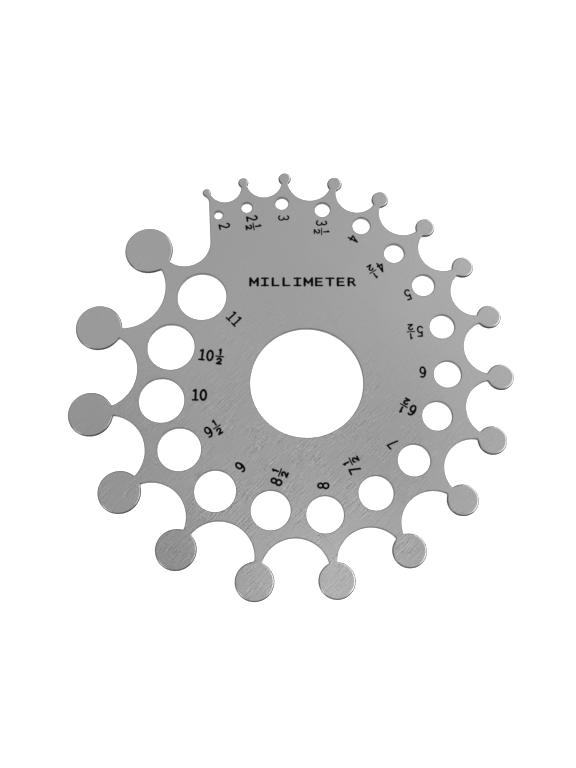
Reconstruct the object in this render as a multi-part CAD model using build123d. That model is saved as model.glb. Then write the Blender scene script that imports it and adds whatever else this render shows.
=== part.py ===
from build123d import *

import itertools
import math
import os
from typing import NamedTuple

# Gemstone size gauge: one flat sheet of steel, 1 mm thick, with no joint.
# Nineteen sizes stand round it. Each size has a round lobe on the rim and a round hole
# behind it, both as wide as the stone they measure. A scallop parts each pair of lobes.
# The wide gap between the largest and the smallest lobe is a notch with a round end.
#
# Frame: the origin is on the axis of the central hole, in the underside.
# +Z is up through the sheet, +X runs along the line of reading on the upper face.
# Lengths are in millimetres, bearings in degrees turned left from +X.

# Sheet
SHEET_THICKNESS = 1.0
EDGE_BREAK = 0.25
CENTRAL_HOLE_DIAMETER = 25.0

# Envelope: the circle that every lobe touches from inside. It isn't centred on the hole.
ENVELOPE_DIAMETER = 99.6
ENVELOPE_SHIFT_X = -3.7
ENVELOPE_SHIFT_Y = 1.3

# Sizes: the first station's lobe and hole, and the rise from one station to the next
SMALLEST_SIZE = 2.0
SIZE_STEP = 0.5

# Necks: the least width of metal that carries a lobe, between its two scallops
NECK_AT_SMALLEST = 1.3
NECK_AT_LARGEST = 1.7

# Notch between the largest and the smallest lobe
NOTCH_WIDTH = 11.6
NOTCH_LEAN = 3.0
NOTCH_SIDE_STEP = 0.45
STEM_FILLET = 1.8

# Corners of the outline, where a lobe meets a cut
CORNER_ROUND = 0.3


class Station(NamedTuple):
    """The hole chart's entries for one size."""

    bearing: float  # of the lobe, about the envelope's centre
    web: float  # metal between the lobe and the hole behind it
    side_step: float  # of the hole, to the left of the line inward from the lobe
    depth: float  # of the scallop after the lobe, down from the envelope


# Hole chart, from the smallest size to the largest. The gauge was laid out by eye, so the
# entries keep its uneven spacing. The last depth is the notch's.
STATIONS = [
    Station(bearing=113.5, web=4.5, side_step=-0.3, depth=5.1),
    Station(bearing=103.0, web=4.0, side_step=0.6, depth=5.9),
    Station(bearing=91.5, web=3.4, side_step=0.8, depth=6.9),
    Station(bearing=77.5, web=3.6, side_step=1.4, depth=7.5),
    Station(bearing=64.0, web=4.0, side_step=1.1, depth=7.9),
    Station(bearing=49.0, web=5.2, side_step=1.3, depth=8.7),
    Station(bearing=33.5, web=5.1, side_step=1.3, depth=8.7),
    Station(bearing=17.5, web=5.4, side_step=0.9, depth=10.3),
    Station(bearing=0.0, web=5.8, side_step=0.6, depth=10.4),
    Station(bearing=-18.0, web=6.5, side_step=1.5, depth=11.3),
    Station(bearing=-36.5, web=6.4, side_step=0.9, depth=11.9),
    Station(bearing=-56.5, web=6.6, side_step=1.1, depth=12.8),
    Station(bearing=-77.5, web=6.2, side_step=0.7, depth=14.0),
    Station(bearing=-99.5, web=7.0, side_step=0.8, depth=14.8),
    Station(bearing=-122.5, web=6.0, side_step=0.1, depth=14.0),
    Station(bearing=-145.0, web=6.3, side_step=-0.4, depth=14.6),
    Station(bearing=-169.0, web=5.9, side_step=-0.1, depth=15.7),
    Station(bearing=-195.0, web=6.5, side_step=0.2, depth=16.0),
    Station(bearing=-223.0, web=5.8, side_step=-0.2, depth=15.4),
]

# Sizes worked out from the ones above
ENVELOPE_RADIUS = ENVELOPE_DIAMETER / 2
ENVELOPE_CENTRE = Vector(ENVELOPE_SHIFT_X, ENVELOPE_SHIFT_Y)
SIZES = [SMALLEST_SIZE + SIZE_STEP * k for k in range(len(STATIONS))]
# Two points this close are the same point.
TOUCH = 0.001


def heading(bearing: float) -> Vector:
    """Unit vector at a bearing."""
    turn = math.radians(bearing)
    return Vector(math.cos(turn), math.sin(turn))


def lobe_centre(size: float, station: Station) -> Vector:
    """Centre of a lobe, which touches the envelope from inside."""
    return ENVELOPE_CENTRE + heading(station.bearing) * (ENVELOPE_RADIUS - size / 2)


def hole_centre(size: float, station: Station) -> Vector:
    """Centre of the hole behind a lobe: one size and a web further in."""
    inward = heading(station.bearing + 180)
    left = heading(station.bearing + 90)
    return lobe_centre(size, station) + inward * (size + station.web) + left * station.side_step


def disc(centre: Vector, radius: float) -> Sketch:
    """Round face about a point."""
    return Pos(centre.X, centre.Y) * Circle(radius)


def scallop(index: int) -> Sketch:
    """Round cut between one lobe and the next.

    Its centre is on the line midway between the two lobes. It dips to its depth under the
    envelope, and stops half a neck short of the line to each lobe.
    """
    here = STATIONS[index]
    after = STATIONS[index + 1]
    half_angle = math.radians((here.bearing - after.bearing) / 2)
    share = index / (len(STATIONS) - 2)
    half_neck = (NECK_AT_SMALLEST + (NECK_AT_LARGEST - NECK_AT_SMALLEST) * share) / 2
    bottom = ENVELOPE_RADIUS - here.depth
    reach = (bottom - half_neck) / (1 - math.sin(half_angle))
    centre = ENVELOPE_CENTRE + heading((here.bearing + after.bearing) / 2) * reach
    return disc(centre, reach - bottom)


def notch_end() -> Vector:
    """Centre of the notch's round end.

    It's where the notch's middle line crosses the circle of its reach.
    """
    across = heading(NOTCH_LEAN)
    along = heading(NOTCH_LEAN + 90)
    radius = NOTCH_WIDTH / 2
    reach = ENVELOPE_RADIUS - STATIONS[-1].depth + radius
    top = lobe_centre(SIZES[0], STATIONS[0]) + across * (NOTCH_SIDE_STEP - radius)
    from_middle = top - ENVELOPE_CENTRE
    climb = from_middle.dot(along)
    aside = from_middle.dot(across)
    return top - along * (climb - math.sqrt(reach**2 - aside**2))


def notch() -> Sketch:
    """Notch with a round end, whose right side runs up beside the smallest lobe's neck."""
    end = notch_end()
    length = ENVELOPE_RADIUS
    middle = end + heading(NOTCH_LEAN + 90) * (length / 2)
    slot = Pos(middle.X, middle.Y) * Rot(0, 0, NOTCH_LEAN) * Rectangle(NOTCH_WIDTH, length)
    return disc(end, NOTCH_WIDTH / 2) + slot


def stem_corner() -> Vector:
    """Point where the notch's side runs into the smallest lobe."""
    lobe = lobe_centre(SIZES[0], STATIONS[0])
    drop = math.sqrt((SIZES[0] / 2) ** 2 - NOTCH_SIDE_STEP**2)
    return lobe + heading(NOTCH_LEAN) * NOTCH_SIDE_STEP - heading(NOTCH_LEAN + 90) * drop


def outline() -> Sketch:
    """The sheet's face without its holes."""
    lobes = [lobe_centre(size, station) for size, station in zip(SIZES, STATIONS)]
    corners = [*reversed(lobes), notch_end()]
    face = Polygon(*[(corner.X, corner.Y) for corner in corners], align=None)
    face = face - [scallop(index) for index in range(len(STATIONS) - 1)] - notch()
    face = face + [disc(centre, size / 2) for centre, size in zip(lobes, SIZES)]
    # Where lobes meet cuts, all the corners are eased, and the stem's is swept wide.
    meetings = face.vertices().filter_by(
        lambda point: any(
            math.isclose((Vector(point) - centre).length, size / 2, abs_tol=TOUCH)
            for centre, size in zip(lobes, SIZES)
        )
    )
    stem = stem_corner()
    face = fillet(meetings.sort_by_distance((stem.X, stem.Y, 0))[1:], CORNER_ROUND)
    last = face.vertices().sort_by_distance((stem.X, stem.Y, 0))[0]
    return fillet(last, STEM_FILLET)


def thinnest_web() -> float:
    """Least width of metal between two holes, the central one among them."""
    rounds = [(hole_centre(size, station), size / 2) for size, station in zip(SIZES, STATIONS)]
    rounds.append((Vector(0, 0), CENTRAL_HOLE_DIAMETER / 2))
    return min((a - b).length - r - s for (a, r), (b, s) in itertools.combinations(rounds, 2))


def gauge_plate() -> Part:
    """The whole sheet, with its holes. The edges of the lettered face are broken."""
    holes = [disc(hole_centre(size, station), size / 2) for size, station in zip(SIZES, STATIONS)]
    face = outline() - holes - disc(Vector(0, 0), CENTRAL_HOLE_DIAMETER / 2)
    sheet = extrude(face, SHEET_THICKNESS)
    # The broken edge can't take the whole of the sheet, or of the metal between two holes.
    edge_width = min(EDGE_BREAK, 0.9 * SHEET_THICKNESS, 0.4 * thinnest_web())
    return chamfer(sheet.edges().group_by(Axis.Z)[-1], edge_width)


os.makedirs("parts", exist_ok=True)
plate = gauge_plate()
plate.label = "gauge_plate"
export_step(plate, "parts/gauge_plate.step")
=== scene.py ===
"""Looks of a gemstone size gauge: one brushed steel sheet with printed sizes."""

import logging
import math
from dataclasses import dataclass, field
from enum import Enum
from typing import Any

import bmesh
import bpy
from bpy.types import Material, Node, NodeSocket, NodeTree, Object
from mathutils import Matrix, Vector


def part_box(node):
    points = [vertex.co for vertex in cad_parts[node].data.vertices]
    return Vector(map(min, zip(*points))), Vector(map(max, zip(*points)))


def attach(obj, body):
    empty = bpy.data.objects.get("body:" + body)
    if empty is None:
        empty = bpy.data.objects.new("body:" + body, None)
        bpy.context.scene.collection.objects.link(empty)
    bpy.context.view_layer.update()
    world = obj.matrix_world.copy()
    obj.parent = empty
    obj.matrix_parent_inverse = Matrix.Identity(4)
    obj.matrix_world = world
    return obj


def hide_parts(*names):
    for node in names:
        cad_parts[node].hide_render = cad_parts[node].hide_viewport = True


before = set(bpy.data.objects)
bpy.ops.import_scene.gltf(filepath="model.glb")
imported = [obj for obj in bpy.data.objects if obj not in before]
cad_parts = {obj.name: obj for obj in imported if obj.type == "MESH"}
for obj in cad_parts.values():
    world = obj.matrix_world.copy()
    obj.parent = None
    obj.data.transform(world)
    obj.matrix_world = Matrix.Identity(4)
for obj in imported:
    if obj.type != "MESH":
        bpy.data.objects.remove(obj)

log = logging.getLogger("gauge")
MM = 0.001
# Points that are this close, in metres, count as one.
TOUCH = 1e-7
# Blender's names for the kinds of node that are used most.
MATH = "ShaderNodeMath"
VECTOR_MATH = "ShaderNodeVectorMath"
MIX = "ShaderNodeMix"
MAP_RANGE = "ShaderNodeMapRange"
MAPPING = "ShaderNodeMapping"
NOISE = "ShaderNodeTexNoise"
STORE = "GeometryNodeStoreNamedAttribute"
READ = "GeometryNodeInputNamedAttribute"
# What each point of the sheet's rim keeps while the rim is swept.
RIM_VALUES = {
    "edge_outward": "FLOAT_VECTOR",
    "edge_base": "FLOAT_VECTOR",
    "edge_reach": "FLOAT",
    "edge_turn": "FLOAT",
    "edge_side": "FLOAT",
}


def add(
    tree: NodeTree, kind: str, wires: dict[str | int, Any] | None = None, **settings: Any
) -> Node:
    """Add one node with its settings, values and links.

    Args:
        tree: The node tree that gets the node.
        kind: Blender's name for the kind of node.
        wires: What each input takes: a plain value, another node's output, or another
            node, which stands for its first output.
        settings: The node's own settings.

    Returns:
        The new node.
    """
    node = tree.nodes.new(kind)
    for name, value in settings.items():
        setattr(node, name, value)
    for name, value in (wires or {}).items():
        source = value.outputs[0] if isinstance(value, Node) else value
        if isinstance(source, NodeSocket):
            tree.links.new(source, node.inputs[name])
        else:
            node.inputs[name].default_value = source
    return node


def linear(colour: str) -> tuple[float, float, float, float]:
    """Turn an sRGB hex value into linear RGBA.

    Args:
        colour: Six hex digits with a leading hash.

    Returns:
        The linear colour, with full alpha.
    """
    parts = [int(colour[k : k + 2], 16) / 255 for k in (1, 3, 5)]
    red, green, blue = (
        part / 12.92 if part <= 0.04045 else ((part + 0.055) / 1.055) ** 2.4
        for part in parts
    )
    return red, green, blue, 1.0


def new_material(name: str) -> tuple[Material, NodeTree]:
    """Make an empty node material.

    Args:
        name: The material's name.

    Returns:
        The material and its node tree.
    """
    material = bpy.data.materials.new(name)
    material.use_nodes = True
    material.node_tree.nodes.clear()
    return material, material.node_tree


def new_object(name: str, data: bpy.types.ID) -> Object:
    """Put an object into the scene, at the origin.

    Args:
        name: The object's name.
        data: Its mesh, curve, lamp or camera.

    Returns:
        The object.
    """
    thing = bpy.data.objects.new(name, data)
    bpy.context.scene.collection.objects.link(thing)
    return thing


class SocketKind(Enum):
    """Kinds of input that a geometry tree takes."""

    LENGTH = "NodeSocketFloat"
    COUNT = "NodeSocketInt"
    FINISH = "NodeSocketMaterial"


@dataclass
class Recipe:
    """A geometry tree under construction, with named inputs and one geometry output."""

    name: str
    tree: NodeTree = field(init=False)
    start: Node = field(init=False)
    sockets: dict[str, str] = field(default_factory=dict)

    def __post_init__(self) -> None:
        """Open the tree with its geometry input and output."""
        self.tree = bpy.data.node_groups.new(self.name, "GeometryNodeTree")
        for way in ("INPUT", "OUTPUT"):
            self.tree.interface.new_socket(
                name="Geometry", in_out=way, socket_type="NodeSocketGeometry"
            )
        self.start = self.tree.nodes.new("NodeGroupInput")

    def take(self, name: str, kind: SocketKind) -> NodeSocket:
        """Add a named input.

        Args:
            name: The input's name.
            kind: What it takes.

        Returns:
            The socket that carries it inside the tree.
        """
        item = self.tree.interface.new_socket(name=name, in_out="INPUT", socket_type=kind.value)
        self.sockets[name] = item.identifier
        return self.start.outputs[name]

    def close(self, geometry: Node, *finishes: tuple[Node | bool, NodeSocket]) -> None:
        """End the tree in real geometry that wears its materials.

        Args:
            geometry: What the tree has made.
            finishes: Which faces wear a material, and that material.
        """
        dressed = add(self.tree, "GeometryNodeRealizeInstances", {"Geometry": geometry})
        for faces, material in finishes:
            dressed = add(
                self.tree,
                "GeometryNodeSetMaterial",
                {"Geometry": dressed, "Selection": faces, "Material": material},
            )
        add(self.tree, "NodeGroupOutput", {"Geometry": dressed})

    def run(self, source: Object, name: str, values: dict[str, Any]) -> Object:
        """Grow the mesh from a source object and drop the source.

        Args:
            source: The object whose geometry the tree starts from.
            name: The new piece's name.
            values: One value for each named input.

        Returns:
            A plain mesh object at the origin.
        """
        modifier = source.modifiers.new(self.name, "NODES")
        modifier.node_group = self.tree
        for title, value in values.items():
            modifier[self.sockets[title]] = value
        graph = bpy.context.evaluated_depsgraph_get()
        mesh = bpy.data.meshes.new_from_object(source.evaluated_get(graph), depsgraph=graph)
        source.modifiers.remove(modifier)
        bpy.data.objects.remove(source)
        mesh.name = name
        return new_object(name, mesh)


def curve_object(
    name: str, lines: list[list[Vector]], closed: bool, weights: list[list[float]]
) -> Object:
    """Make a curve object of straight-sided splines.

    Args:
        name: The object's name.
        lines: The points of each spline.
        closed: Whether the splines run back to their start.
        weights: The radius of each point of each spline.

    Returns:
        The curve object.
    """
    data = bpy.data.curves.new(name, "CURVE")
    data.dimensions = "3D"
    for line, radii in zip(lines, weights):
        spline = data.splines.new("POLY")
        spline.points.add(len(line) - 1)
        spline.use_cyclic_u = closed
        for point, place, radius in zip(spline.points, line, radii):
            point.co = (place.x, place.y, place.z, 1)
            point.radius = radius
    return new_object(name, data)


@dataclass(frozen=True)
class Patch:
    """A soft round area of a face: its middle and reach in millimetres, and its strength."""

    x: float
    y: float
    reach: float
    strength: float

    def add_to(self, tree: NodeTree, place: NodeSocket, base: Node | float) -> Node:
        """Raise a value inside the patch.

        Args:
            tree: The material's tree.
            place: The piece's own coordinates.
            base: The value outside the patch.

        Returns:
            The node that gives the value with the patch on it.
        """
        middle = (self.x * MM, self.y * MM, MM)
        away = add(tree, VECTOR_MATH, {0: place, 1: middle}, operation="DISTANCE")
        near = add(
            tree,
            MAP_RANGE,
            {
                "Value": away.outputs["Value"],
                "From Max": self.reach * MM,
                "To Min": self.strength,
                "To Max": 0.0,
            },
            interpolation_type="SMOOTHSTEP",
        )
        return add(tree, MATH, {0: near, 1: base}, operation="ADD")


@dataclass(frozen=True)
class Spots:
    """Soft spots scattered over a surface, with their size in millimetres.

    The value climbs from the first level to the second between two shares of the noise,
    and the detail is how much finer noise rides on it.
    """

    size: float
    detail: float
    share: tuple[float, float] = (0.0, 1.0)
    level: tuple[float, float] = (0.0, 1.0)

    def value(self, tree: NodeTree, place: NodeSocket) -> Node:
        """Add the spots.

        Args:
            tree: The material's tree.
            place: The piece's own coordinates.

        Returns:
            The node that gives the value.
        """
        scale = 1 / (self.size * MM)
        noise = add(tree, NOISE, {"Vector": place, "Scale": scale, "Detail": self.detail})
        return add(
            tree,
            MAP_RANGE,
            {
                "Value": noise.outputs["Fac"],
                "From Min": self.share[0],
                "From Max": self.share[1],
                "To Min": self.level[0],
                "To Max": self.level[1],
            },
        )


@dataclass(frozen=True)
class Marks:
    """Marks of one size that the brushing leaves, with their sizes in millimetres.

    The detail is how much finer grain rides on them, and the shift, in metres, keeps two
    sets from lying on each other. The scratch rise says which heights make a scratch.
    """

    length: float
    width: float
    strength: float
    detail: float = 0.0
    shift: float = 0.0
    scratch_rise: tuple[float, float] = (0.1, 0.2)

    def streaks(self, tree: NodeTree, turned: Node) -> Node:
        """Add the marks as streaks side by side, which swing about zero.

        Args:
            tree: The material's tree.
            turned: The node that gives coordinates along the grain.

        Returns:
            The node whose value is the streaks' height.
        """
        waves = (1 / (self.length * MM), 1 / (self.width * MM), 1.0)
        drawn = add(tree, MAPPING, {"Vector": turned, "Scale": waves})
        noise = add(tree, NOISE, {"Vector": drawn, "Scale": 1.0, "Detail": self.detail})
        return add(tree, MATH, {0: noise.outputs["Fac"], 1: -0.5}, operation="ADD")

    def scratches(self, tree: NodeTree, turned: Node) -> Node:
        """Add the marks as thin single scratches with bare metal between them.

        Args:
            tree: The material's tree.
            turned: The node that gives coordinates along the grain.

        Returns:
            The node whose value is 1 in a scratch and 0 beside it.
        """
        moved = add(tree, VECTOR_MATH, {0: turned, 1: (self.shift,) * 3}, operation="ADD")
        height = self.streaks(tree, moved)
        low, high = self.scratch_rise
        return add(tree, MAP_RANGE, {"Value": height, "From Min": low, "From Max": high})


@dataclass(frozen=True)
class BrushedSteel:
    """Stainless steel sheet, brushed by hand on a slant and tumbled.

    The brushing leaves short fine scratches that run up to the right. They are strongest
    below the central hole, where the sheet has been handled most. The brush bites in
    patches about 4 mm wide, and the tone drifts in patches about 20 mm wide. The hatch
    has its pitch in millimetres, and the grain its turn in degrees.
    """

    colour: str = "#AFAFAF"
    dark_colour: str = "#777777"
    # Painted shade: the rolled edges and walls take this dark colour. Part of it is the darker
    # sheared metal, and part is the dark reflection of the shaded card beside the edge.
    sheared_and_shaded_colour: str = "#3A3A3A"
    roughness: float = 0.33
    rim_roughness: float = 0.25
    mark_roughness: float = 0.03
    mark_contrast: float = 0.2
    relief_strength: float = 0.2
    relief_depth: float = 0.002 * MM
    grain_turn: float = 46.0
    pale_scratches: Marks = Marks(2.2, 0.27, 1.0, 1.0)
    dark_scratches: Marks = Marks(1.9, 0.25, -0.75, 1.0, 0.37)
    lines: Marks = Marks(3.0, 0.34, 2.0)
    grain: Marks = Marks(0.45, 0.22, 6.0, 1.0)
    hatch_pitch: float = 0.63
    hatch_draw: float = 0.4
    hatch_waver: float = 5.0
    hatch_strength: float = 1.4
    bites: Spots = Spots(4.348, 1.0, (0.36, 0.64), (0.35, 1.65))
    clean: float = 0.1
    worn: Patch = Patch(-8.0, -37.0, 68.0, 0.78)
    drift: Spots = Spots(22.22, 2.0, level=(0.465, 0.605))
    # Painted sheen and shade: fixed wide patches that make the face lighter at the lower middle and
    # the upper right, and darker at the lower left, the left and just right of the middle. They stand
    # in for the lamps' reflection across the polished face.
    painted_sheen_and_shade: tuple[Patch, ...] = (
        Patch(3.0, -45.0, 29.0, 0.32),
        Patch(-31.0, -40.0, 19.0, -0.24),
        Patch(-50.0, -15.0, 34.0, -0.18),
        Patch(19.0, -12.0, 22.0, -0.1),
        Patch(36.0, 30.0, 40.0, 0.12),
    )
    # Past this rise the edge is painted dark, partly as painted shade.
    painted_edge_shade_rise: tuple[float, float] = (0.76, 0.96)
    flat_rise: tuple[float, float] = (0.985, 0.999)

    def material(self) -> Material:
        """Build the material on the piece's own coordinates.

        Returns:
            The material.
        """
        steel, tree = new_material("stainless_steel_slant_brushed")
        spot = add(tree, "ShaderNodeTexCoord")
        place = spot.outputs["Object"]
        worn = self.worn.add_to(tree, place, self.clean)
        bite = add(tree, MATH, {0: self.bites.value(tree, place), 1: worn}, operation="MULTIPLY")
        marked = add(tree, MATH, {0: self._cut(tree, place), 1: bite}, operation="MULTIPLY")
        tone = self.drift.value(tree, place)
        # The randomly drifting tone takes the painted sheen and shade patches here.
        for shade in self.painted_sheen_and_shade:
            tone = shade.add_to(tree, place, tone)
        share, gloss = (
            add(tree, MATH, {0: marked, 1: strength, 2: base}, operation="MULTIPLY_ADD")
            for strength, base in (
                (self.mark_contrast, tone),
                (self.mark_roughness, self.roughness),
            )
        )
        tones = {"Factor": share, 6: linear(self.dark_colour), 7: linear(self.colour)}
        brushed = add(tree, MIX, tones, data_type="RGBA")
        # The rolled edges and walls are painted dark here: partly darker sheared metal, partly
        # painted shade.
        bright = self._facing(tree, spot.outputs["Normal"], self.painted_edge_shade_rise)
        flat = self._facing(tree, spot.outputs["Normal"], self.flat_rise)
        sides = {"Factor": bright, 6: linear(self.sheared_and_shaded_colour), 7: brushed.outputs[2]}
        colour = add(tree, MIX, sides, data_type="RGBA")
        roughness = add(
            tree, MIX, {"Factor": flat, 2: self.rim_roughness, 3: gloss}, data_type="FLOAT"
        )
        relief = add(
            tree,
            "ShaderNodeBump",
            {"Height": marked, "Strength": self.relief_strength, "Distance": self.relief_depth},
        )
        shader = add(
            tree,
            "ShaderNodeBsdfPrincipled",
            {
                "Base Color": colour.outputs[2],
                "Metallic": 1.0,
                "Roughness": roughness,
                "Normal": relief,
            },
        )
        add(tree, "ShaderNodeOutputMaterial", {"Surface": shader})
        return steel

    def _cut(self, tree: NodeTree, place: NodeSocket) -> Node:
        """Add up all marks of the brushing, turned along its slant.

        Args:
            tree: The material's tree.
            place: The piece's own coordinates.

        Returns:
            The node whose value is above zero where the metal is bright.
        """
        slant = (0, 0, -math.radians(self.grain_turn))
        turned = add(tree, MAPPING, {"Vector": place, "Rotation": slant})
        # The scratches are 0.02 to 0.1 mm wide. They are drawn as coarse as a pixel can show.
        cut: Node | float = 0.0
        for layer, strength in (
            (self.pale_scratches.scratches(tree, turned), self.pale_scratches.strength),
            (self.dark_scratches.scratches(tree, turned), self.dark_scratches.strength),
            (self.lines.streaks(tree, turned), self.lines.strength),
            (self._hatch(tree, turned), self.hatch_strength),
            (self.grain.streaks(tree, turned), self.grain.strength),
        ):
            cut = add(tree, MATH, {0: layer, 1: strength, 2: cut}, operation="MULTIPLY_ADD")
        return cut

    def _hatch(self, tree: NodeTree, turned: Node) -> Node:
        """Add the even lines that the belt leaves side by side.

        Args:
            tree: The material's tree.
            turned: The node that gives coordinates along the grain.

        Returns:
            The node whose value swings half a unit about zero.
        """
        drawn = add(tree, MAPPING, {"Vector": turned, "Scale": (self.hatch_draw, 1.0, 1.0)})
        # At scale 1 the bands stand pi / 10 metres apart.
        bands = add(
            tree,
            "ShaderNodeTexWave",
            {
                "Vector": drawn,
                "Scale": math.pi / 10 / (self.hatch_pitch * MM),
                "Distortion": self.hatch_waver,
                "Detail": 0.0,
                "Detail Scale": 2.0,
            },
            bands_direction="Y",
        )
        return add(tree, MATH, {0: bands.outputs["Fac"], 1: -0.5}, operation="ADD")

    @staticmethod
    def _facing(tree: NodeTree, normal: NodeSocket, rise: tuple[float, float]) -> Node:
        """Tell the flat faces, 1, from the rolled edges and walls of the outline and the holes, 0.

        Args:
            tree: The material's tree.
            normal: The surface's direction on the piece.
            rise: How far the normal rises, out of 1, where the value leaves 0 and where
                it reaches 1.

        Returns:
            The node that gives the value.
        """
        upright = add(tree, VECTOR_MATH, {0: normal}, operation="ABSOLUTE")
        level = add(tree, "ShaderNodeSeparateXYZ", {0: upright})
        return add(
            tree,
            MAP_RANGE,
            {"Value": level.outputs["Z"], "From Min": rise[0], "From Max": rise[1]},
            interpolation_type="SMOOTHSTEP",
        )


@dataclass(frozen=True)
class SpottedFinish:
    """A finish of one gloss whose colour changes to a second one in fine spots."""

    name: str
    colour: str
    spot_colour: str
    roughness: float
    spots: Spots
    metallic: float = 0.0
    specular: float = 0.5

    def material(self) -> Material:
        """Build the material on the piece's own coordinates.

        Returns:
            The material.
        """
        finish, tree = new_material(self.name)
        place = add(tree, "ShaderNodeTexCoord").outputs["Object"]
        share = self.spots.value(tree, place)
        tones = {"Factor": share, 6: linear(self.colour), 7: linear(self.spot_colour)}
        colour = add(tree, MIX, tones, data_type="RGBA")
        shader = add(
            tree,
            "ShaderNodeBsdfPrincipled",
            {
                "Base Color": colour.outputs[2],
                "Metallic": self.metallic,
                "Roughness": self.roughness,
                "Specular IOR Level": self.specular,
            },
        )
        add(tree, "ShaderNodeOutputMaterial", {"Surface": shader})
        return finish


@dataclass(frozen=True)
class ShearedAndShadedSteel(SpottedFinish):
    """Steel as the punch leaves it: a narrow, duller band round each cut, darker partly by painted
    shade.

    The punch drags the metal in patches about 1 mm long.
    """

    name: str = "stainless_steel_sheared_and_shaded"
    # Darker than the sheared metal alone: partly painted shade.
    colour: str = "#5A5A5A"
    spot_colour: str = "#747474"
    roughness: float = 0.45
    spots: Spots = Spots(1.111, 1.0)
    metallic: float = 1.0


@dataclass(frozen=True)
class PrintedBlack(SpottedFinish):
    """Black epoxy ink, pad printed in a thin film and baked: nearly black, half matt.

    The film is thinner in spots about 0.4 mm wide.
    """

    name: str = "epoxy_ink_pad_printed"
    colour: str = "#020202"
    spot_colour: str = "#0A0A0A"
    roughness: float = 0.7
    spots: Spots = Spots(0.4, 2.0, (0.5, 0.8))
    specular: float = 0.03


@dataclass(frozen=True)
class WhiteBoard:
    """Smooth white card under the gauge, lit until it is just white in the picture."""

    colour: str = "#F2F2F2"
    glow: float = 0.5

    def material(self) -> Material:
        """Build the card: matt white, with a little glow for the eye and for reflections.

        Returns:
            The material.
        """
        card, tree = new_material("white_card")
        rays = add(tree, "ShaderNodeLightPath")
        seen = rays.outputs["Is Camera Ray"]
        for ray in ("Is Glossy Ray", "Is Transmission Ray"):
            seen = add(tree, MATH, {0: seen, 1: rays.outputs[ray]}, operation="MAXIMUM")
        strength = add(tree, MATH, {0: seen, 1: self.glow}, operation="MULTIPLY")
        paper = add(tree, "ShaderNodeBsdfDiffuse", {"Color": linear(self.colour)})
        light = add(tree, "ShaderNodeEmission", {"Color": (1, 1, 1, 1), "Strength": strength})
        lit = add(tree, "ShaderNodeAddShader", {0: paper, 1: light})
        add(tree, "ShaderNodeOutputMaterial", {"Surface": lit})
        return card


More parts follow.
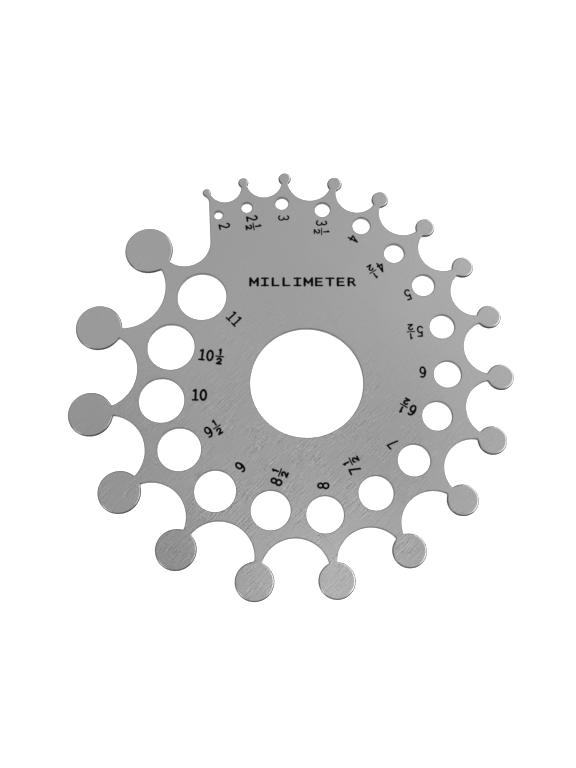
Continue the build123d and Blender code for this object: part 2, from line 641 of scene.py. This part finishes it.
@dataclass
class GaugeSheet:
    """The steel sheet, with its edges rounded on both faces.

    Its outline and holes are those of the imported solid. The facets of each arc there are
    made finer, and the edge is rolled round the outline set in by the edge's radius.
    A rise is how far up a face points, out of 1.
    """

    node: str = "gauge_plate"
    lobe_reach: float = 0.5 * MM
    cut_reach: float = 0.2 * MM
    blend: float = 0.5 * MM
    edge_steps: int = 6
    chord_error: float = 0.004 * MM
    side_match: float = 0.02
    least_turn: float = 0.001
    under_rise: float = -0.99
    flat_rise: float = 0.999
    cut_margin: float = 1.1
    seam: float = 1e-6
    finish: BrushedSteel = BrushedSteel()
    cut_finish: ShearedAndShadedSteel = ShearedAndShadedSteel()

    def build(self) -> Object:
        """Make the dressed sheet in place of the solid.

        Returns:
            The sheet's mesh object.
        """
        low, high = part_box(self.node)
        thickness = high[2] - low[2]
        loops = [self._fine(loop) for loop in self._loops()]
        lines = [line for line, _ in loops]
        reaches = [self._reaches(line, swells) for line, swells in loops]
        rim = curve_object("gauge_outline", lines, closed=True, weights=reaches)
        sheet = self._recipe().run(
            rim,
            "gauge_sheet",
            {
                "Thickness": thickness,
                "Edge Steps": self.edge_steps,
                "Widest Cut Edge": self.cut_reach * self.cut_margin,
                "Finish": self.finish.material(),
                "Cut Finish": self.cut_finish.material(),
            },
        )
        self._settle(sheet, thickness)
        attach(sheet, "root")
        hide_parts(self.node)
        return sheet

    def _reaches(self, line: list[Vector], swells: list[bool]) -> list[float]:
        """How far the rolled edge reaches in, at each point of a loop.

        The lobes were tumbled rounder than the holes and the cuts. The change from one to
        the other is spread along the edge.

        Args:
            line: The loop's points.
            swells: Whether each point is on a lobe.

        Returns:
            The reach at each point, in metres.
        """
        if not any(swells):
            return [self.cut_reach] * len(line)
        count = len(line)
        weights = [
            ((line[k] - line[k - 1]).length + (line[(k + 1) % count] - line[k]).length) / 2
            for k in range(count)
        ]
        reaches = []
        for k in range(count):
            total = weights[k]
            lobe = weights[k] * swells[k]
            for step in (-1, 1):
                away = 0.0
                here = k
                while away < self.blend:
                    after = (here + step) % count
                    away += (line[after] - line[here]).length
                    total += weights[after]
                    lobe += weights[after] * swells[after]
                    here = after
            share = lobe / total
            reaches.append(self.cut_reach + (self.lobe_reach - self.cut_reach) * share)
        return reaches

    def _loops(self) -> list[list[Vector]]:
        """Read the outline and the holes off the solid's underside.

        Returns:
            The corners of each loop, in an order that keeps the metal on the left.
        """
        work = bmesh.new()
        work.from_mesh(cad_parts[self.node].data)
        bmesh.ops.remove_doubles(work, verts=work.verts, dist=TOUCH)
        follow: dict[int, bmesh.types.BMVert] = {}
        starts: dict[int, bmesh.types.BMVert] = {}
        for edge in work.edges:
            under = [loop for loop in edge.link_loops if loop.face.normal.z < self.under_rise]
            if len(under) != 1:
                continue
            first = under[0].vert
            second = edge.other_vert(first)
            follow[second.index] = first
            starts[second.index] = second
        loops = []
        while starts:
            index, vert = starts.popitem()
            loop = [vert.co.copy()]
            ahead = follow[index]
            while ahead.index != index:
                loop.append(ahead.co.copy())
                starts.pop(ahead.index)
                ahead = follow[ahead.index]
            loops.append(loop)
        work.free()
        return loops

    def _fine(self, loop: list[Vector]) -> tuple[list[Vector], list[bool]]:
        """Put more points on each arc of a loop.

        Sides of one length that turn by one angle are one arc, so its radius is known.

        Args:
            loop: The corners of the loop.

        Returns:
            The corners, with points of the true arcs between them, and whether each point
            is on an arc that swells out of the metal, which is a lobe.
        """
        count = len(loop)
        sides = [loop[(k + 1) % count] - loop[k] for k in range(count)]
        turns = []
        for k in range(count):
            before, after = sides[k - 1], sides[k]
            cross = before.x * after.y - before.y * after.x
            turns.append(math.atan2(cross, before.dot(after)))
        fine = []
        swells = []
        for k in range(count):
            length = sides[k].length
            angles = []
            for other, corner in ((k - 1, k), ((k + 1) % count, (k + 1) % count)):
                if math.isclose(sides[other].length, length, rel_tol=self.side_match):
                    angles.append(turns[corner])
            turn = min(angles, key=abs) if angles else 0.0
            bent = abs(turn) > self.least_turn
            points = self._arc(loop[k], sides[k], turn) if bent else []
            fine.extend([loop[k], *points])
            swells.extend([turn > self.least_turn] * (1 + len(points)))
        return fine, swells

    def _arc(self, start: Vector, side: Vector, turn: float) -> list[Vector]:
        """Points of an arc over one side, without its ends.

        Args:
            start: The side's first corner.
            side: The vector to its second corner.
            turn: The arc's angle, above zero to the left.

        Returns:
            The points, in order.
        """
        radius = side.length / 2 / math.sin(abs(turn) / 2)
        # However small the arc is, one step turns by 120 degrees at most.
        widest = 2 * math.acos(max(0.5, 1 - self.chord_error / radius))
        pieces = max(1, math.ceil(abs(turn) / widest))
        left = Vector((-side.y, side.x, 0)).normalized() * math.copysign(1, turn)
        centre = start + side / 2 + left * radius * math.cos(turn / 2)
        spoke = start - centre
        steps = [turn * k / pieces for k in range(1, pieces)]
        return [centre + Matrix.Rotation(step, 3, "Z") @ spoke for step in steps]

    def _recipe(self) -> Recipe:
        """Tree that fills an outline and rolls a rounded edge round it.

        The radius of each point of the outline is the reach of the edge there.

        Returns:
            The finished tree.
        """
        recipe = Recipe("rounded_sheet")
        tree = recipe.tree
        thickness = recipe.take("Thickness", SocketKind.LENGTH)
        steps = recipe.take("Edge Steps", SocketKind.COUNT)
        widest = recipe.take("Widest Cut Edge", SocketKind.LENGTH)
        finish = recipe.take("Finish", SocketKind.FINISH)
        cut_finish = recipe.take("Cut Finish", SocketKind.FINISH)
        reach = add(tree, "GeometryNodeInputRadius")
        along = add(tree, "GeometryNodeInputTangent")
        outward = add(tree, VECTOR_MATH, {0: along, 1: (0, 0, 1)}, operation="CROSS_PRODUCT")
        aimed = add(
            tree,
            STORE,
            {"Geometry": recipe.start, "Name": "edge_outward", "Value": outward},
            data_type=RIM_VALUES["edge_outward"],
        )
        inward = add(tree, MATH, {0: reach, 1: -1.0}, operation="MULTIPLY")
        shift = add(tree, VECTOR_MATH, {0: outward, "Scale": inward}, operation="SCALE")
        inset = add(tree, "GeometryNodeSetPosition", {"Geometry": aimed, "Offset": shift})
        kept = inset
        for name, value in (
            ("edge_base", add(tree, "GeometryNodeInputPosition")),
            ("edge_reach", reach),
        ):
            wires = {"Geometry": kept, "Name": name, "Value": value}
            kept = add(tree, STORE, wires, data_type=RIM_VALUES[name])
        half = add(tree, MATH, {0: thickness, 1: 0.5}, operation="MULTIPLY")
        rim = self._rolled(tree, kept, steps, half)
        face = add(tree, "GeometryNodeFillCurve", {"Curve": inset})
        lift = add(tree, "ShaderNodeCombineXYZ", {"Z": thickness})
        top = add(tree, "GeometryNodeTransform", {"Geometry": face, "Translation": lift})
        joined = add(tree, "GeometryNodeJoinGeometry")
        for part in (rim, top, face):
            tree.links.new(part.outputs[0], joined.inputs[0])
        sewn = add(tree, "GeometryNodeMergeByDistance", {"Geometry": joined, "Distance": self.seam})
        # Its dark colour is partly painted shade.
        # The sheared finish goes round the cuts and the holes, off the flat faces.
        swept = add(tree, READ, {"Name": "edge_reach"}, data_type="FLOAT")
        narrow = add(tree, MATH, {0: swept, 1: widest}, operation="LESS_THAN")
        rise = add(tree, "ShaderNodeSeparateXYZ", {0: add(tree, "GeometryNodeInputNormal")})
        level = add(tree, MATH, {0: rise.outputs["Z"]}, operation="ABSOLUTE")
        side = add(tree, MATH, {0: level, 1: self.flat_rise}, operation="LESS_THAN")
        cut_side = add(tree, MATH, {0: narrow, 1: side}, operation="MULTIPLY")
        recipe.close(sewn, (True, finish), (cut_side, cut_finish))
        return recipe

    @staticmethod
    def _rolled(tree: NodeTree, outline: Node, steps: NodeSocket, half: Node) -> Node:
        """Sweep a wall round the outline, with a quarter round at its top and its foot.

        Args:
            tree: The geometry tree.
            outline: The inset outline, with the stored values of its points.
            steps: How many sides each quarter round gets.
            half: Half the sheet's thickness.

        Returns:
            The node that gives the rim's mesh.
        """
        count = add(tree, MATH, {0: steps, 1: 2.0, 2: 2.0}, operation="MULTIPLY_ADD")
        line = add(tree, "GeometryNodeCurvePrimitiveLine", {"End": (1, 0, 0)})
        profile = add(tree, "GeometryNodeResampleCurve", {"Curve": line, "Count": count})
        # A point's place from the profile's middle: above zero towards the lettered face.
        number = add(tree, "GeometryNodeInputIndex")
        middle = add(tree, MATH, {0: steps, 1: 0.5}, operation="ADD")
        place = add(tree, MATH, {0: number, 1: middle}, operation="SUBTRACT")
        side = add(tree, MATH, {0: place}, operation="SIGN")
        away = add(tree, MATH, {0: place}, operation="ABSOLUTE")
        inner = add(tree, MATH, {0: middle, 1: away}, operation="SUBTRACT")
        share = add(tree, MATH, {0: inner, 1: steps}, operation="DIVIDE")
        turn = add(tree, MATH, {0: share, 1: math.pi / 2}, operation="MULTIPLY")
        for name, value in (("edge_turn", turn), ("edge_side", side)):
            wires = {"Geometry": profile, "Name": name, "Value": value}
            profile = add(tree, STORE, wires, data_type=RIM_VALUES[name])
        swept = add(tree, "GeometryNodeCurveToMesh", {"Curve": outline, "Profile Curve": profile})
        read = {
            name: add(tree, READ, {"Name": name}, data_type=kind)
            for name, kind in RIM_VALUES.items()
        }
        reach = read["edge_reach"]
        sine = add(tree, MATH, {0: read["edge_turn"]}, operation="SINE")
        cosine = add(tree, MATH, {0: read["edge_turn"]}, operation="COSINE")
        out = add(tree, MATH, {0: sine, 1: reach}, operation="MULTIPLY")
        step_out = add(
            tree, VECTOR_MATH, {0: read["edge_outward"], "Scale": out}, operation="SCALE"
        )
        # The drop from the face is one reach times 1 less the cosine of the turn.
        rest = add(tree, MATH, {0: 1.0, 1: cosine}, operation="SUBTRACT")
        drop = add(tree, MATH, {0: rest, 1: reach}, operation="MULTIPLY")
        climb = add(tree, MATH, {0: half, 1: drop}, operation="SUBTRACT")
        level = add(tree, MATH, {0: climb, 1: read["edge_side"], 2: half}, operation="MULTIPLY_ADD")
        lift = add(tree, "ShaderNodeCombineXYZ", {"Z": level})
        flat = add(tree, VECTOR_MATH, {0: read["edge_base"], 1: step_out})
        spot = add(tree, VECTOR_MATH, {0: flat, 1: lift})
        return add(tree, "GeometryNodeSetPosition", {"Geometry": swept, "Position": spot})

    @staticmethod
    def _settle(sheet: Object, thickness: float) -> None:
        """Turn the faces outwards and shade the rolled edge smooth into the flat faces.

        Args:
            sheet: The sheet's object.
            thickness: The sheet's thickness.
        """
        mesh = sheet.data
        for name in [kept.name for kept in mesh.attributes if kept.name.startswith("edge_")]:
            mesh.attributes.remove(mesh.attributes[name])
        work = bmesh.new()
        work.from_mesh(mesh)
        bmesh.ops.recalc_face_normals(work, faces=work.faces)
        work.to_mesh(mesh)
        work.free()
        mesh.polygons.foreach_set("use_smooth", [True] * len(mesh.polygons))
        mesh.update()
        normals = []
        for vert in mesh.vertices:
            if vert.co.z > thickness - TOUCH:
                normals.append((0, 0, 1))
            elif vert.co.z < TOUCH:
                normals.append((0, 0, -1))
            else:
                normals.append(tuple(vert.normal))
        mesh.normals_split_custom_set_from_vertices(normals)


@dataclass(frozen=True)
class Bow:
    """Part of an ellipse in a glyph's unit square, in degrees turned left from +X."""

    middle: tuple[float, float]
    half: tuple[float, float]
    start: float
    end: float

    def points(self, pieces: int = 14) -> list[tuple[float, float]]:
        """Points along the bow.

        Args:
            pieces: How many straight sides it gets.

        Returns:
            The points, ends among them.
        """
        across, up = self.middle
        wide, tall = self.half
        turns = [
            math.radians(self.start + (self.end - self.start) * k / pieces)
            for k in range(pieces + 1)
        ]
        return [(across + wide * math.cos(turn), up + tall * math.sin(turn)) for turn in turns]


@dataclass(frozen=True)
class Stroke:
    """One pull of the pen in a glyph's unit square, through points and bows.

    Its weight is its width as a share of the pen's.
    """

    path: tuple[tuple[float, float] | Bow, ...]
    weight: float = 1.0

    def points(self) -> list[tuple[float, float]]:
        """Join up the parts of the stroke.

        Returns:
            All its points, in order.
        """
        line: list[tuple[float, float]] = []
        for part in self.path:
            line.extend(part.points() if isinstance(part, Bow) else [part])
        return line


@dataclass(frozen=True)
class Glyph:
    """A plain sign: its width as a share of its height, and its strokes."""

    width: float
    strokes: tuple[Stroke, ...]


# The weights of the word's uprights and bars.
STEM = 1.14
BAR = 0.84
LEFT_STEM = Stroke(((0.0, 0.0), (0.0, 1.0)), STEM)
MIDDLE_STEM = Stroke(((0.5, 0.0), (0.5, 1.0)), STEM)
HEAD_BAR = Stroke(((0.0, 1.0), (1.0, 1.0)), BAR)
FOOT_BAR = Stroke(((0.0, 0.0), (1.0, 0.0)), BAR)
GLYPHS = {
    "0": Glyph(0.62, (Stroke((Bow((0.5, 0.5), (0.5, 0.5), 90, 450),)),)),
    "1": Glyph(0.58, (Stroke(((0.16, 0.9), (0.56, 1.0), (0.56, 0.0))), FOOT_BAR)),
    "2": Glyph(
        0.55, (Stroke((Bow((0.46, 0.72), (0.46, 0.28), 160, -28), (0.0, 0.0), (1.0, 0.0))),)
    ),
    "3": Glyph(
        0.55,
        (
            Stroke(
                (
                    Bow((0.42, 0.76), (0.46, 0.24), 145, -90),
                    Bow((0.42, 0.26), (0.56, 0.26), 90, -145),
                )
            ),
        ),
    ),
    "4": Glyph(0.6, (Stroke(((0.72, 0.0), (0.72, 1.0), (0.0, 0.3), (1.0, 0.3))),)),
    "5": Glyph(
        0.55,
        (
            Stroke(
                ((0.92, 1.0), (0.14, 1.0), (0.1, 0.55), Bow((0.42, 0.32), (0.56, 0.32), 122, -145))
            ),
        ),
    ),
    "6": Glyph(
        0.58,
        (
            Stroke((Bow((0.54, 0.32), (0.46, 0.32), 0, 360),)),
            Stroke((Bow((0.62, 0.45), (0.62, 0.55), 195, 65),)),
        ),
    ),
    "7": Glyph(0.56, (Stroke(((0.0, 1.0), (1.0, 1.0), (0.32, 0.0))),)),
    "8": Glyph(
        0.6,
        (
            Stroke((Bow((0.5, 0.76), (0.42, 0.24), 0, 360),)),
            Stroke((Bow((0.5, 0.26), (0.5, 0.26), 0, 360),)),
        ),
    ),
    "9": Glyph(
        0.58,
        (
            Stroke((Bow((0.46, 0.68), (0.46, 0.32), 0, 360),)),
            Stroke((Bow((0.38, 0.55), (0.62, 0.55), 15, -115),)),
        ),
    ),
    "M": Glyph(
        0.97,
        (
            LEFT_STEM,
            Stroke(((0.0, 1.0), (0.5, 0.32), (1.0, 1.0)), 0.96),
            Stroke(((1.0, 1.0), (1.0, 0.0)), STEM),
        ),
    ),
    "I": Glyph(0.88, (MIDDLE_STEM, HEAD_BAR, FOOT_BAR)),
    "L": Glyph(0.83, (Stroke(((0.0, 1.0), (0.0, 0.0)), STEM), FOOT_BAR)),
    "E": Glyph(
        0.85,
        (
            LEFT_STEM,
            Stroke(((0.0, 1.0), (0.96, 1.0)), BAR),
            Stroke(((0.0, 0.5), (0.86, 0.5)), BAR),
            FOOT_BAR,
        ),
    ),
    "T": Glyph(1.02, (MIDDLE_STEM, HEAD_BAR)),
    "R": Glyph(
        0.85,
        (
            LEFT_STEM,
            Stroke(
                ((0.0, 1.0), (0.5, 1.0), Bow((0.5, 0.74), (0.36, 0.26), 90, -90), (0.0, 0.48)),
                BAR,
            ),
            Stroke(((0.5, 0.48), (1.0, 0.0))),
        ),
    ),
    "small 1": Glyph(0.5, (Stroke(((0.0, 0.8), (0.72, 1.0), (0.72, 0.0)), 0.95),)),
    "small 2": Glyph(
        0.84,
        (Stroke((Bow((0.46, 0.7), (0.46, 0.3), 165, -30), (0.0, 0.0), (1.0, 0.0)), 0.97),),
    ),
}


@dataclass(frozen=True)
class Label:
    """Words: their middle in millimetres, their turn in degrees and the pen's weight."""

    text: str
    x: float
    y: float
    turn: float = 0.0
    weight: float = 1.0


@dataclass
class Lettering:
    """The printed size numbers and the unit word, each sign drawn with a round pen.

    The numbers stand inside the holes and read towards the middle of the sheet. They were
    set by hand, so each one's place and turn is its own. Sizes are in millimetres, and
    the corner at which the pen is lifted is in degrees.
    """

    height: float = 2.78
    small_height: float = 1.68
    pen: float = 0.485
    gap: float = 0.12
    film: float = 0.008
    pen_sides: int = 8
    word_height: float = 2.22
    word_pitch: float = 2.47
    fraction_width: float = 2.15
    fraction_reach: float = 1.92
    fraction_bar: float = 0.7
    least_side: float = 0.01
    corner: float = 30.0
    dot_sides: int = 12
    dot_rings: int = 6
    finish: PrintedBlack = PrintedBlack()
    word: Label = Label("MILLIMETER", -0.785, 23.72, 0, 1.06)
    labels: tuple[Label, ...] = (
        Label("2", -18.83, 37.44, -77, 0.92),
        Label("2\u00bd", -12.27, 38.20, -80, 0.96),
        Label("3", -5.17, 39.46, -88, 0.81),
        Label("3\u00bd", 3.58, 36.98, -90, 0.84),
        Label("4", 10.87, 34.27, -120, 0.88),
        Label("4\u00bd", 16.01, 26.70, -148, 0.90),
        Label("5", 23.01, 20.62, -160, 0.84),
        Label("5\u00bd", 24.29, 11.83, -177, 0.86),
        Label("6", 25.80, 2.35, 180, 0.93),
        Label("6\u00bd", 22.16, -5.80, 149.5, 1.02),
        Label("7", 18.71, -13.92, 131, 0.88),
        Label("7\u00bd", 9.85, -18.65, 115, 0.98),
        Label("8", 3.45, -23.16, 89, 1.02),
        Label("8\u00bd", -6.24, -21.16, 69, 1.04),
        Label("9", -14.49, -19.04, 47, 0.98),
        Label("9\u00bd", -20.54, -10.64, 32, 0.98),
        Label("10", -23.73, -2.89, -1, 1.12),
        Label("10\u00bd", -21.24, 6.18, -6, 1.1),
        Label("11", -16.25, 14.89, -46, 0.95),
    )
    lines: list[list[Vector]] = field(default_factory=list)
    weights: list[list[float]] = field(default_factory=list)

    def build(self, sheet_top: float) -> Object:
        """Draw all the words as one film of ink.

        Args:
            sheet_top: The height of the lettered face, in metres.

        Returns:
            The ink's mesh object.
        """
        for label in self.labels:
            self._number(label)
        self._word()
        pen_lines = curve_object("pen_lines", self.lines, closed=False, weights=self.weights)
        ink = self._recipe().run(
            pen_lines,
            "size_marks",
            {
                "Pen Width": self.pen * MM,
                "Film Height": self.film * MM,
                "Face Height": sheet_top,
                "Pen Sides": self.pen_sides,
                "Finish": self.finish.material(),
            },
        )
        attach(ink, "root")
        return ink

    def _number(self, label: Label) -> None:
        """Draw a size, its fraction after it, about its middle.

        Args:
            label: The size's words and place.
        """
        spot = 0.0
        marks: list[tuple[Glyph, float, float, float]] = []
        for sign in label.text:
            if sign == "\u00bd":
                spot += self.gap
                self._fraction(marks, spot)
                spot += self.fraction_width + self.gap
            else:
                glyph = GLYPHS[sign]
                marks.append((glyph, spot, 0.0, self.height))
                spot += glyph.width * self.height + self.gap
        middle = ((spot - self.gap) / 2, self.height / 2)
        for glyph, left, foot, height in marks:
            self._draw(glyph, left - middle[0], foot - middle[1], height, label)

    def _fraction(self, marks: list[tuple[Glyph, float, float, float]], left: float) -> None:
        """Set a half: a small one over a bar over a small two.

        Args:
            marks: The list that takes the glyphs.
            left: Where the bar starts.
        """
        centre = left + self.fraction_width / 2
        level = self.height / 2
        one, two = GLYPHS["small 1"], GLYPHS["small 2"]
        top = level + self.fraction_reach - self.small_height
        marks.append((one, centre - one.width * self.small_height / 2, top, self.small_height))
        bar = Glyph(1.0, (Stroke(((0.0, 0.5), (1.0, 0.5)), self.fraction_bar),))
        marks.append((bar, left, level - self.fraction_width / 2, self.fraction_width))
        under = level - self.fraction_reach
        marks.append((two, centre - two.width * self.small_height / 2, under, self.small_height))

    def _word(self) -> None:
        """Draw the unit word, with its letters at one pitch."""
        start = -self.word_pitch * (len(self.word.text) - 1) / 2
        for place, letter in enumerate(self.word.text):
            glyph = GLYPHS[letter]
            left = start + self.word_pitch * place - glyph.width * self.word_height / 2
            self._draw(glyph, left, -self.word_height / 2, self.word_height, self.word)

    def _draw(self, glyph: Glyph, left: float, foot: float, height: float, label: Label) -> None:
        """Lay one glyph's strokes on the sheet.

        Args:
            glyph: The sign.
            left: Its left edge, in millimetres along the label.
            foot: Its foot, in millimetres above the label's middle.
            height: Its height in millimetres.
            label: The label that it belongs to.
        """
        wide = glyph.width * height - self.pen
        tall = height - self.pen
        left += self.pen / 2
        foot += self.pen / 2
        turn = Matrix.Rotation(math.radians(label.turn), 3, "Z")
        shift = Vector((label.x, label.y, 0))
        for stroke in glyph.strokes:
            line = []
            for across, up in stroke.points():
                spot = Vector((left + across * wide, foot + up * tall, 0))
                line.append((turn @ spot + shift) * MM)
            self._split(line, stroke.weight * label.weight)

    def _split(self, line: list[Vector], weight: float) -> None:
        """Keep a stroke as pieces that meet at its corners, where the pen makes a round dot.

        Args:
            line: The stroke's points in metres.
            weight: The stroke's width as a share of the pen's.
        """
        parts = [line[:1]]
        for place in line[1:]:
            ahead = place - parts[-1][-1]
            if ahead.length < self.least_side * MM:
                continue
            if len(parts[-1]) > 1:
                before = parts[-1][-1] - parts[-1][-2]
                if before.angle(ahead) > math.radians(self.corner):
                    parts.append(parts[-1][-1:])
            parts[-1].append(place)
        self.lines.extend(parts)
        self.weights.extend([weight] * len(part) for part in parts)

    def _recipe(self) -> Recipe:
        """Tree that draws pen lines as a flat, round-edged film with round ends.

        Returns:
            The finished tree.
        """
        recipe = Recipe("pen_film")
        tree = recipe.tree
        width = recipe.take("Pen Width", SocketKind.LENGTH)
        film = recipe.take("Film Height", SocketKind.LENGTH)
        level = recipe.take("Face Height", SocketKind.LENGTH)
        sides = recipe.take("Pen Sides", SocketKind.COUNT)
        finish = recipe.take("Finish", SocketKind.FINISH)
        half = add(tree, MATH, {0: width, 1: 0.5}, operation="MULTIPLY")
        weight = add(tree, "GeometryNodeInputRadius")
        nib = add(tree, "GeometryNodeCurvePrimitiveCircle", {"Resolution": sides, "Radius": half})
        pulled = add(
            tree,
            "GeometryNodeCurveToMesh",
            {"Curve": recipe.start, "Profile Curve": nib, "Scale": weight, "Fill Caps": True},
        )
        ends = add(tree, "GeometryNodeCurveEndpointSelection")
        dot = add(
            tree,
            "GeometryNodeMeshUVSphere",
            {"Segments": self.dot_sides, "Rings": self.dot_rings, "Radius": half},
        )
        dots = add(
            tree,
            "GeometryNodeInstanceOnPoints",
            {"Points": recipe.start, "Selection": ends, "Instance": dot, "Scale": weight},
        )
        joined = add(tree, "GeometryNodeJoinGeometry")
        for part in (pulled, dots):
            tree.links.new(part.outputs[0], joined.inputs[0])
        flatness = add(tree, MATH, {0: film, 1: half}, operation="DIVIDE")
        squeeze = add(tree, "ShaderNodeCombineXYZ", {"X": 1.0, "Y": 1.0, "Z": flatness})
        lift = add(tree, "ShaderNodeCombineXYZ", {"Z": level})
        flat = add(
            tree, "GeometryNodeTransform", {"Geometry": joined, "Translation": lift, "Scale": squeeze}
        )
        recipe.close(flat, (True, finish))
        return recipe


@dataclass(frozen=True)
class SoftLamp:
    """A square soft box: its place and side in metres, and its power in watts."""

    name: str
    place: tuple[float, float, float]
    side: float
    power: float

    def hang(self) -> None:
        """Hang the lamp, turned to the middle of the sheet."""
        data = bpy.data.lights.new(self.name, "AREA")
        data.shape = "SQUARE"
        data.size = self.side
        data.energy = self.power
        lamp = new_object(self.name, data)
        lamp.location = self.place
        lamp.rotation_euler = Vector(self.place).to_track_quat("Z", "Y").to_euler()


@dataclass(frozen=True)
class Studio:
    """White card, soft light and the camera that looks down on the gauge.

    The lens and the film are in millimetres, other lengths in metres, the tilt in radians.
    """

    lens: float = 50.0
    film_width: float = 36.0
    nearest: float = 0.01
    eye: tuple[float, float, float] = (-4.17 * MM, -63.37 * MM, 228.73 * MM)
    tilt: float = 0.2698
    card_side: float = 3.0
    card_drop: float = 0.02 * MM
    card_squares: int = 8
    sky: float = 1.0
    lamps: tuple[SoftLamp, ...] = (
        SoftLamp("window_back_right", (0.42, 0.42, 0.28), 0.45, 2.3),
        SoftLamp("window_right", (0.535, -0.075, 0.379), 0.6, 3.4),
        SoftLamp("below_left", (-0.45, -0.35, 0.3), 0.25, 1.1),
    )
    card: WhiteBoard = WhiteBoard()

    def build(self) -> None:
        """Lay the card, hang the lamps and set the camera."""
        self._card()
        for lamp in self.lamps:
            lamp.hang()
        self._sky()
        self._camera()

    def _card(self) -> None:
        """Lay the card under the gauge."""
        work = bmesh.new()
        squares = self.card_squares
        bmesh.ops.create_grid(work, x_segments=squares, y_segments=squares, size=self.card_side / 2)
        for vert in work.verts:
            vert.co.z = -self.card_drop
        mesh = bpy.data.meshes.new("white_card")
        work.to_mesh(mesh)
        work.free()
        card = new_object("white_card", mesh)
        card.data.materials.append(self.card.material())

    def _sky(self) -> None:
        """Light everything evenly with plain white."""
        world = bpy.data.worlds.new("studio")
        world.use_nodes = True
        tree = world.node_tree
        tree.nodes.clear()
        glow = add(tree, "ShaderNodeBackground", {"Color": (1, 1, 1, 1), "Strength": self.sky})
        add(tree, "ShaderNodeOutputWorld", {"Surface": glow})
        bpy.context.scene.world = world
        bpy.context.scene.view_settings.view_transform = "Standard"

    def _camera(self) -> None:
        """Set the camera where the photograph was taken from."""
        data = bpy.data.cameras.new("camera")
        data.lens = self.lens
        data.sensor_width = self.film_width
        data.clip_start = self.nearest
        camera = new_object("camera", data)
        camera.location = self.eye
        camera.rotation_euler = (self.tilt, 0, 0)
        bpy.context.scene.camera = camera


def main() -> None:
    """Build the pieces in order and set up the studio."""
    logging.basicConfig(level=logging.INFO, format="%(name)s: %(message)s")
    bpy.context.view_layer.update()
    sheet = GaugeSheet().build()
    log.info("sheet: %d faces", len(sheet.data.polygons))
    ink = Lettering().build(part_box("gauge_plate")[1][2])
    log.info("marks: %d faces", len(ink.data.polygons))
    Studio().build()


if __name__ == "__main__":
    main()
